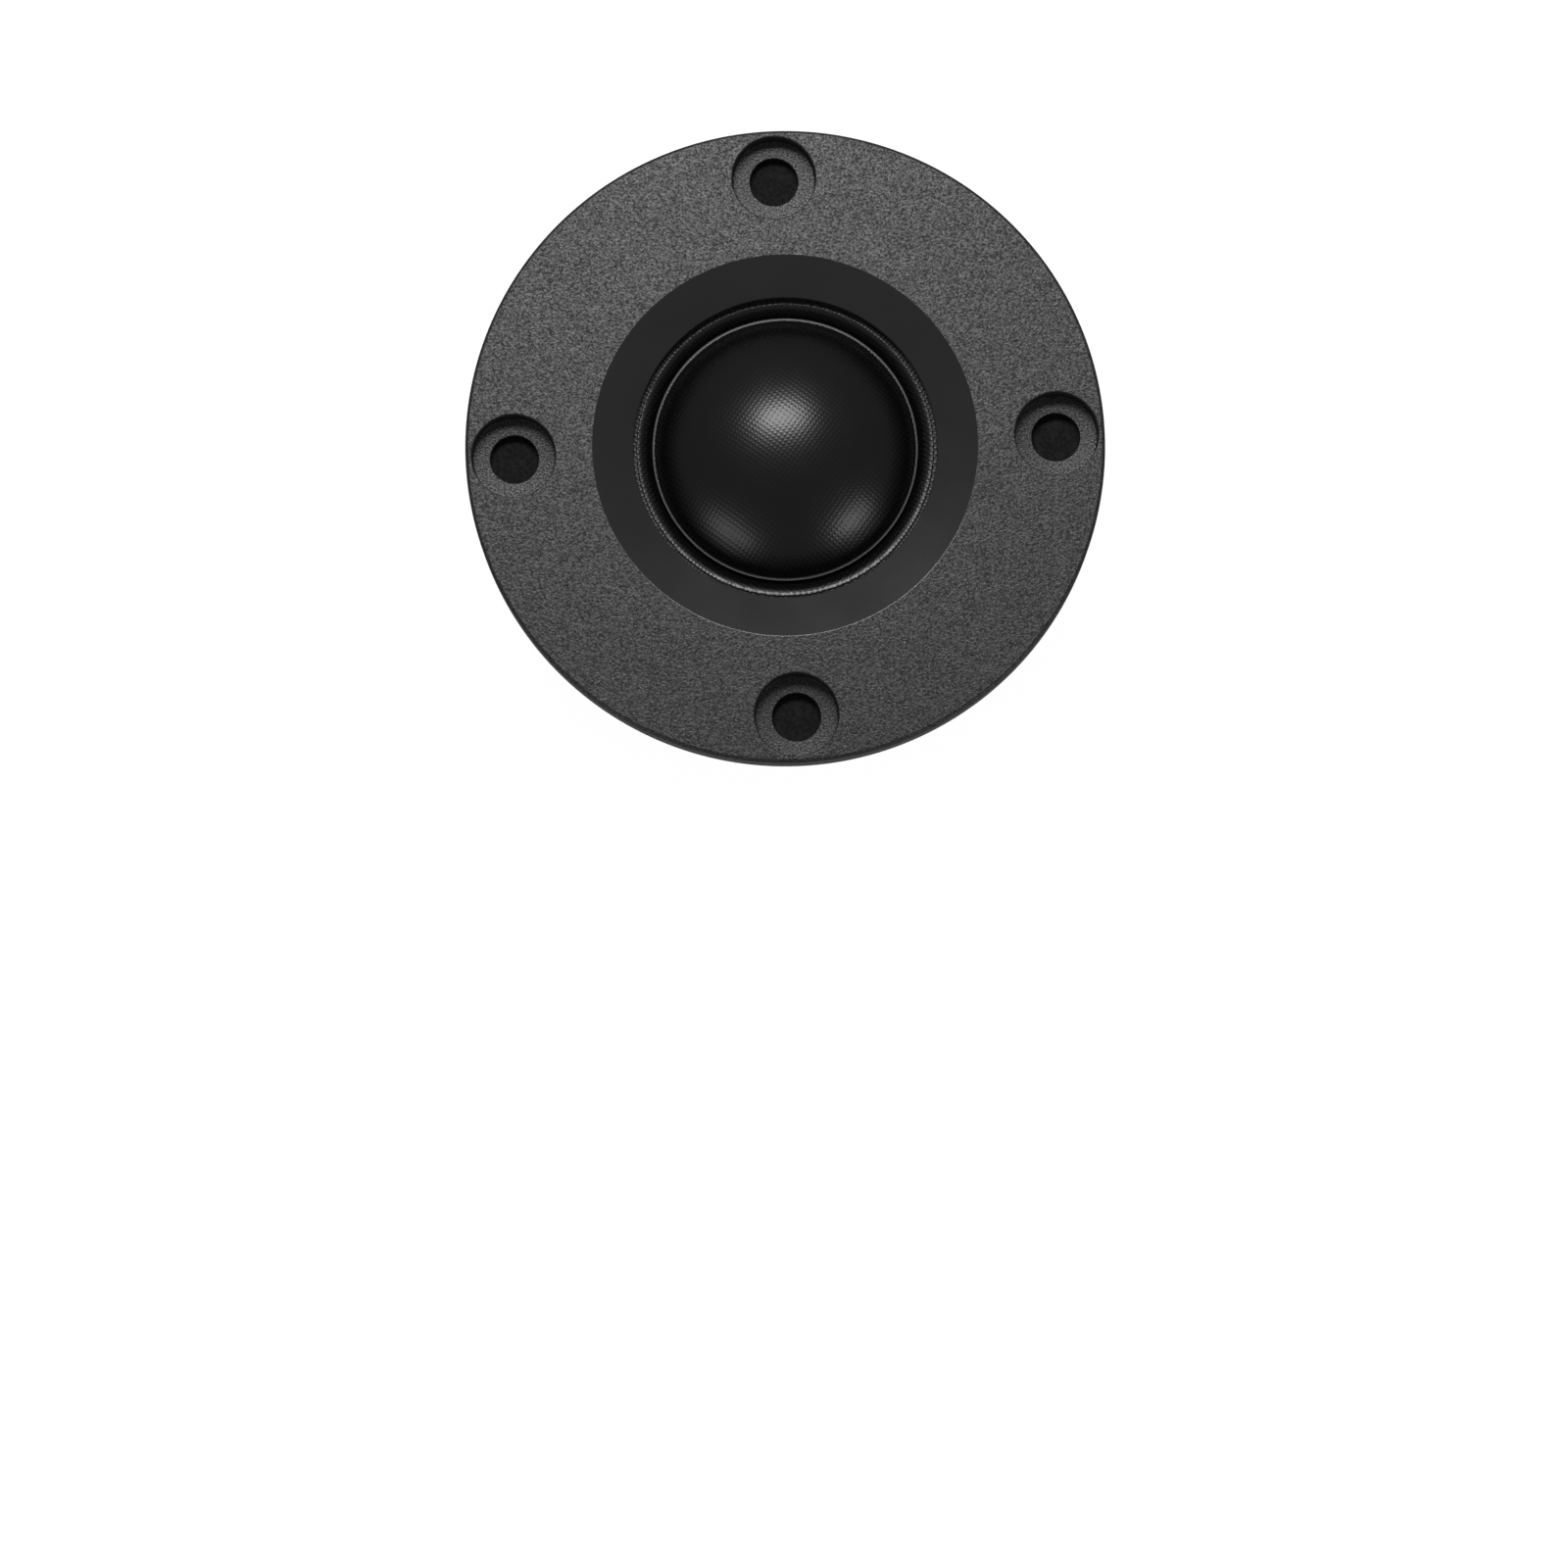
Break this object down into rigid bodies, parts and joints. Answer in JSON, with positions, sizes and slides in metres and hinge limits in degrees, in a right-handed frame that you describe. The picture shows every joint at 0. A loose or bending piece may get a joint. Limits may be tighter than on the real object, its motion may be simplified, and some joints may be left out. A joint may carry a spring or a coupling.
{
  "type": "dome tweeter",
  "caption": "Round flush-mount soft dome tweeter: flanged faceplate with counterbored screw holes, silk dome, and a screwed rear housing with push-on terminals.",
  "frame": {"origin": "centre of the rear housing's back face, on the dome's axis", "axes": "+Z along the dome's axis towards the listener; the terminals face -Y; the mounting holes are on +X, +Y, -X and -Y"},
  "size_m": [0.065, 0.065, 0.0234],
  "materials": {
    "faceplate_plastic": "black ABS, moulded with a sand grain; the cone is smooth satin",
    "housing_plastic": "black glass-filled plastic, satin",
    "coated_silk": "black silk with a damping coat, satin over a fine weave",
    "foam": "black closed-cell foam",
    "felt": "grey pressed felt",
    "aluminium_foil": "thin rolled foil",
    "copper_wire": "enamelled copper wire; leads are copper braid",
    "plated_steel": "turned mild steel, zinc plated",
    "nickel_plating": "neodymium magnet with bright nickel plating",
    "screw_steel": "steel with black oxide",
    "laminate": "brown phenolic paper laminate",
    "terminal_brass": "tin-plated brass"
  },
  "bodies": {
    "housing": {"faceplate": "faceplate_plastic", "mounting_gasket": "foam", "surround": "coated_silk", "diaphragm_ring": "housing_plastic", "lead_wire_positive": "copper_wire", "lead_wire_negative": "copper_wire", "felt_damper": "felt", "pole_plate": "plated_steel", "magnet": "nickel_plating", "yoke_cup": "plated_steel", "yoke_pad": "foam", "rear_housing": "housing_plastic", "housing_screw_1": "screw_steel", "housing_screw_2": "screw_steel", "housing_screw_3": "screw_steel", "housing_screw_4": "screw_steel", "terminal_board": "laminate", "terminal_tab_positive": "terminal_brass", "terminal_tab_negative": "terminal_brass", "terminal_rivet_positive": "terminal_brass", "terminal_rivet_negative": "terminal_brass"},
    "diaphragm": {"dome": "coated_silk", "voice_coil_former": "aluminium_foil", "voice_coil_winding": "copper_wire"}
  },
  "joints": [
    {"name": "diaphragm_travel", "type": "slide", "parent": "housing", "child": "diaphragm", "axis": [0, 0, 1], "range_m": [-0.0005, 0.0005], "stiffness_N_per_m": 2000, "deforming": ["surround", "lead_wire_positive", "lead_wire_negative"]}
  ]
}
